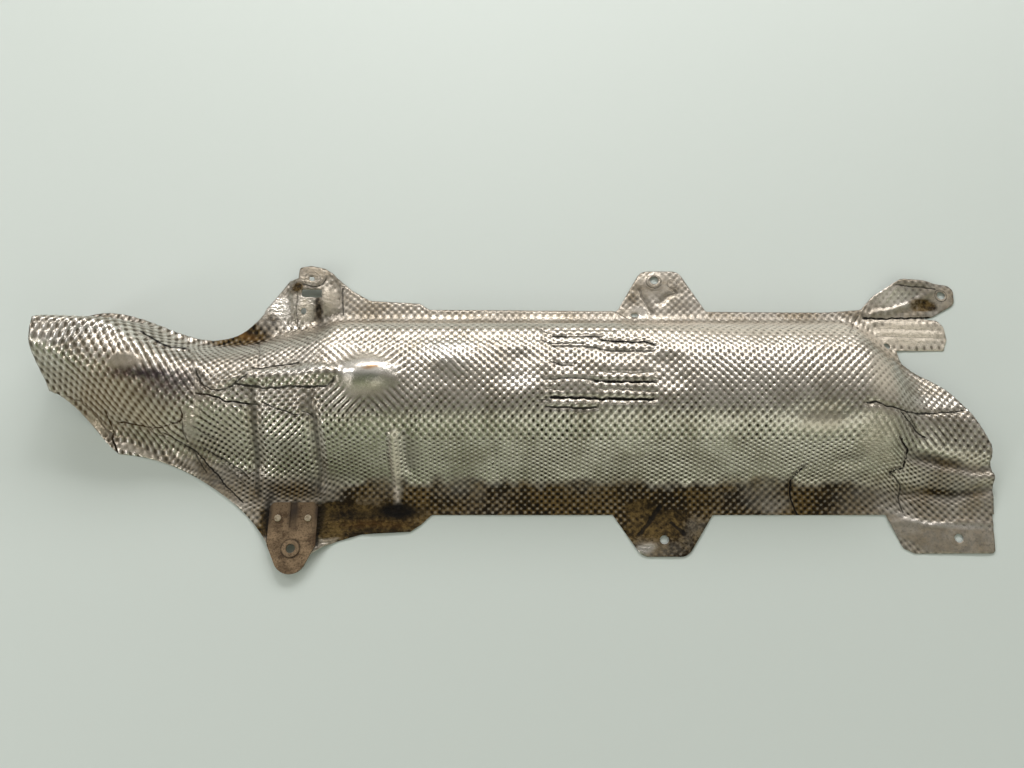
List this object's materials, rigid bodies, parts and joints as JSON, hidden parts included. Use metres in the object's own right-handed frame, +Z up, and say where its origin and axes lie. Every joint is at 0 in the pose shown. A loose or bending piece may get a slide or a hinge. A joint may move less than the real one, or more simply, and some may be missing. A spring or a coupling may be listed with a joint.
{
  "type": "exhaust heat shield",
  "caption": "Long pressed tunnel heat shield of embossed aluminium with a scooped end, side flanges, mounting tabs, a flared end and a riveted tongue; used, dented and dirty.",
  "frame": {"origin": "middle of the bounding box, on the ground that the shield lies on, open side down", "axes": "+X along the tunnel from the scoop to the flare, +Y across it towards the narrow flange, +Z up out of the crown"},
  "size_m": [0.8846, 0.311, 0.082],
  "materials": {
    "embossed_aluminium": "embossed, aged and dirty",
    "bracket_steel": "dull, dirt stained",
    "rivet_aluminium": "dull"
  },
  "bodies": {
    "root": {"shield_shell": "embossed_aluminium", "lower_left_bracket": "bracket_steel", "bracket_rivets": "rivet_aluminium"}
  },
  "joints": []
}
